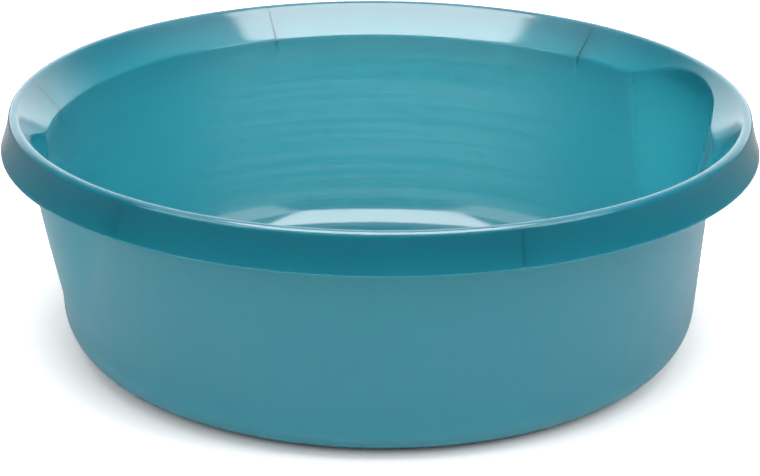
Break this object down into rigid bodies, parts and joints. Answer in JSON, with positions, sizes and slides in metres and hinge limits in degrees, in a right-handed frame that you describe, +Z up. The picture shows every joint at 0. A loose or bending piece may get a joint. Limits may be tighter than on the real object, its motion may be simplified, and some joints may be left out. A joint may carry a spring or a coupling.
{
  "type": "washing bowl",
  "caption": "Round glossy plastic hand basin with a wide sloping collar, rolled lip, flared skirt, ribbed rim channel and two opposite grip pockets.",
  "frame": {"origin": "centre of the bowl's underside, on the level that its foot ring stands on", "axes": "+Z up along the bowl's axis, +X through the middle of one grip pocket and -X through the other, +Y square to both"},
  "size_m": [0.38, 0.38, 0.126],
  "materials": {
    "teal_plastic": "self-coloured, slightly translucent teal polypropylene, smooth and glossy inside and out, with faint flow waviness"
  },
  "bodies": {
    "root": {"floor_panel": "teal_plastic", "foot_ring": "teal_plastic", "base_cove": "teal_plastic", "grip_pocket_right": "teal_plastic", "grip_pocket_left": "teal_plastic", "wall_front": "teal_plastic", "wall_back": "teal_plastic", "rim_collar": "teal_plastic", "rim_lip": "teal_plastic", "rim_skirt": "teal_plastic", "rim_rib_1": "teal_plastic", "rim_rib_2": "teal_plastic", "rim_rib_3": "teal_plastic", "rim_rib_4": "teal_plastic", "rim_rib_5": "teal_plastic", "rim_rib_6": "teal_plastic"}
  },
  "joints": []
}
